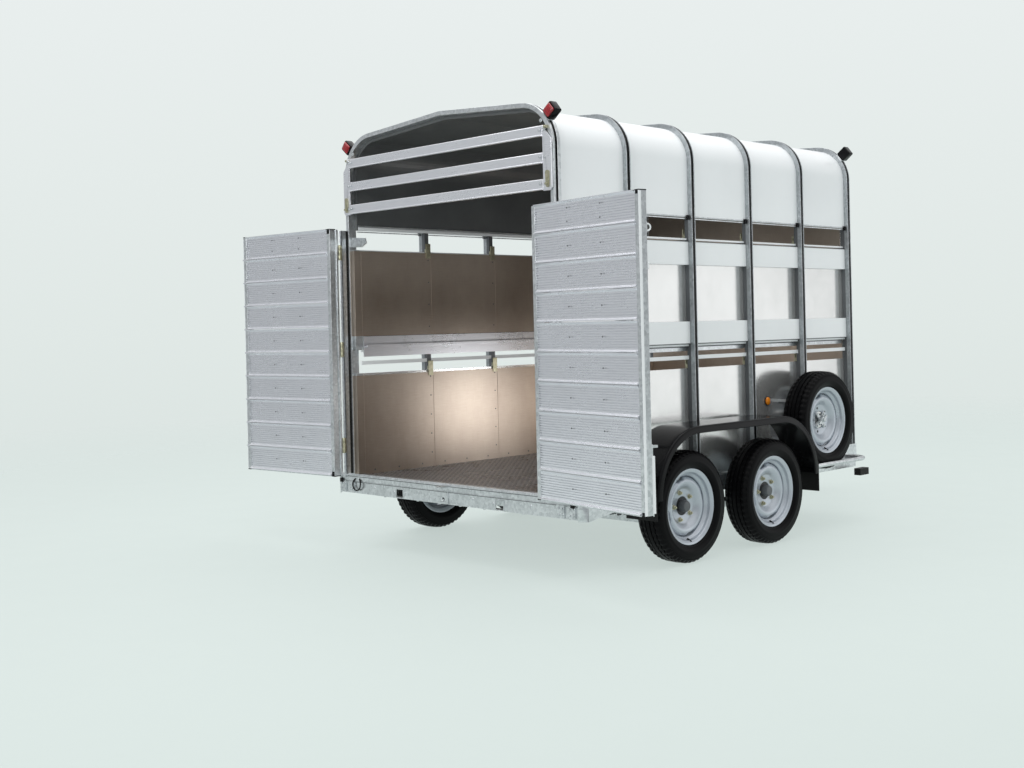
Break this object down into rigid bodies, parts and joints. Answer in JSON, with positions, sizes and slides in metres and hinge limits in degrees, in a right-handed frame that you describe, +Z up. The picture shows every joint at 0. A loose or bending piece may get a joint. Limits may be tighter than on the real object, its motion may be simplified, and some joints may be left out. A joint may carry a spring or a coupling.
{
  "type": "livestock trailer",
  "caption": "Box livestock trailer on tandem axles with an arched hooped roof, vented sides, ribbed rear doors, a slatted top gate, a side-mounted spare wheel and an overrun hitch.",
  "frame": {"origin": "centre of the tow-ball socket, on the trailer's middle plane", "axes": "+Y forwards from the body to the hitch, +X to the trailer's right, +Z up"},
  "size_m": [3.6056, 4.7317, 2.712],
  "materials": {
    "galvanised": "satin",
    "ribbed_aluminium": "satin",
    "white_sheet": "gloss",
    "grey_panel": "gloss",
    "lining_sheet": "satin",
    "dark_lining": "matte",
    "tread_plate": "rough",
    "yellow_zinc": "satin",
    "black_plastic": "satin",
    "black_rubber": "matte",
    "tyre": "matte",
    "wheel_silver": "gloss",
    "red_lens": "gloss",
    "amber_lens": "gloss",
    "spring_steel": "satin",
    "cast_grey": "satin"
  },
  "bodies": {
    "trailer": {"chassis_rails": "galvanised", "cross_members": "galvanised", "drawbar_rails": "galvanised", "drawbar_nose": "cast_grey", "brake_rod": "spring_steel", "rear_sill": "galvanised", "sill_plates": "galvanised", "floor_deck": "tread_plate", "body_posts": "galvanised", "roof_bows": "galvanised", "roof_skin": "white_sheet", "roof_lining": "dark_lining", "side_boards": "white_sheet", "side_panels": "grey_panel", "vent_rails": "galvanised", "inner_linings": "lining_sheet", "deck_ledges": "ribbed_aluminium", "lining_brackets": "yellow_zinc", "front_wall": "grey_panel", "spare_tray": "galvanised", "buffer_blocks": "black_rubber", "mudguards": "black_plastic", "mud_flaps": "black_rubber", "axle_beams": "galvanised", "leaf_springs": "spring_steel", "spring_hangers": "galvanised", "spare_bracket": "galvanised", "spare_tyre": "tyre", "spare_rim": "wheel_silver", "lamp_bodies": "black_plastic", "lamp_lenses": "red_lens", "side_marker_lamps": "amber_lens", "hinge_pins": "yellow_zinc"},
    "left_door": {"left_door_frame": "galvanised", "left_door_planks": "ribbed_aluminium", "left_door_hinges": "yellow_zinc"},
    "left_bolt": {"left_door_bolt": "galvanised"},
    "right_door": {"right_door_frame": "galvanised", "right_door_planks": "ribbed_aluminium", "right_door_hinges": "yellow_zinc"},
    "right_bolt": {"right_door_bolt": "galvanised"},
    "gate": {"gate_frame": "ribbed_aluminium"},
    "latch_left": {"gate_latch_left": "yellow_zinc"},
    "latch_right": {"gate_latch_right": "yellow_zinc"},
    "wheel_rear_left": {"tyre_rear_left": "tyre", "rim_rear_left": "wheel_silver"},
    "wheel_rear_right": {"tyre_rear_right": "tyre", "rim_rear_right": "wheel_silver"},
    "wheel_front_left": {"tyre_front_left": "tyre", "rim_front_left": "wheel_silver"},
    "wheel_front_right": {"tyre_front_right": "tyre", "rim_front_right": "wheel_silver"},
    "coupling": {"draw_tube": "galvanised", "coupling_head": "cast_grey"},
    "coupling_lever": {"coupling_handle": "black_plastic"},
    "handbrake": {"handbrake_lever": "black_plastic"},
    "jockey_tube": {"jockey_mast": "galvanised"},
    "jockey_foot": {"jockey_leg": "galvanised"},
    "jockey_roller": {"jockey_wheel": "black_rubber"},
    "jockey_handle": {"jockey_crank": "galvanised"}
  },
  "joints": [
    {"name": "left_door_swing", "type": "hinge", "parent": "trailer", "child": "left_door", "pos_m": [-0.908, -4.457, 0.8], "axis": [0, 0, -1], "range_deg": [-175.5, 4.5]},
    {"name": "right_door_swing", "type": "hinge", "parent": "trailer", "child": "right_door", "pos_m": [0.908, -4.457, 0.8], "axis": [0, 0, 1], "range_deg": [-170, 10]},
    {"name": "left_bolt_drop", "type": "slide", "parent": "left_door", "child": "left_bolt", "axis": [0, 0, -1], "range_m": [0, 0.035]},
    {"name": "right_bolt_drop", "type": "slide", "parent": "right_door", "child": "right_bolt", "axis": [0, 0, -1], "range_m": [0, 0.035]},
    {"name": "gate_swing", "type": "hinge", "parent": "trailer", "child": "gate", "pos_m": [0, -4.398, 2.105], "axis": [-1, 0, 0], "range_deg": [0, 100]},
    {"name": "latch_left_turn", "type": "hinge", "parent": "gate", "child": "latch_left", "pos_m": [-0.904, -4.395, 1.85], "axis": [0, 1, 0], "range_deg": [0, 90]},
    {"name": "latch_right_turn", "type": "hinge", "parent": "gate", "child": "latch_right", "pos_m": [0.904, -4.395, 1.85], "axis": [0, -1, 0], "range_deg": [0, 90]},
    {"name": "wheel_rear_left_spin", "type": "hinge", "parent": "trailer", "child": "wheel_rear_left", "pos_m": [-1.095, -3.514, -0.07], "axis": [1, 0, 0], "continuous": true},
    {"name": "wheel_rear_right_spin", "type": "hinge", "parent": "trailer", "child": "wheel_rear_right", "pos_m": [1.095, -3.514, -0.07], "axis": [1, 0, 0], "continuous": true},
    {"name": "wheel_front_left_spin", "type": "hinge", "parent": "trailer", "child": "wheel_front_left", "pos_m": [-1.095, -2.666, -0.07], "axis": [1, 0, 0], "continuous": true},
    {"name": "wheel_front_right_spin", "type": "hinge", "parent": "trailer", "child": "wheel_front_right", "pos_m": [1.095, -2.666, -0.07], "axis": [1, 0, 0], "continuous": true},
    {"name": "overrun_slide", "type": "slide", "parent": "trailer", "child": "coupling", "axis": [0, -1, 0], "range_m": [0, 0.08], "stiffness_N_per_m": 6000},
    {"name": "coupling_lift", "type": "hinge", "parent": "coupling", "child": "coupling_lever", "pos_m": [0, -0.015, 0.058], "axis": [-1, 0, 0], "range_deg": [0, 50]},
    {"name": "handbrake_swing", "type": "hinge", "parent": "trailer", "child": "handbrake", "pos_m": [0, -0.31, 0.103], "axis": [-1, 0, 0], "range_deg": [0, 80]},
    {"name": "jockey_clamp_slide", "type": "slide", "parent": "trailer", "child": "jockey_tube", "axis": [0, 0, 1], "range_m": [0, 0.085]},
    {"name": "jockey_crank_turn", "type": "hinge", "parent": "jockey_tube", "child": "jockey_handle", "pos_m": [-0.19, -0.27, 0.4], "axis": [0, 0, 1], "range_deg": [0, 2880]},
    {"name": "jockey_leg_slide", "type": "slide", "parent": "jockey_tube", "child": "jockey_foot", "axis": [0, 0, 1], "range_m": [0, 0.0805]},
    {"name": "jockey_wheel_spin", "type": "hinge", "parent": "jockey_foot", "child": "jockey_roller", "pos_m": [-0.19, -0.27, -0.3], "axis": [1, 0, 0], "continuous": true}
  ],
  "couplings": [
    {"joint": "jockey_leg_slide", "follows": "jockey_crank_turn", "m_per_rad": 0.0015915}
  ]
}
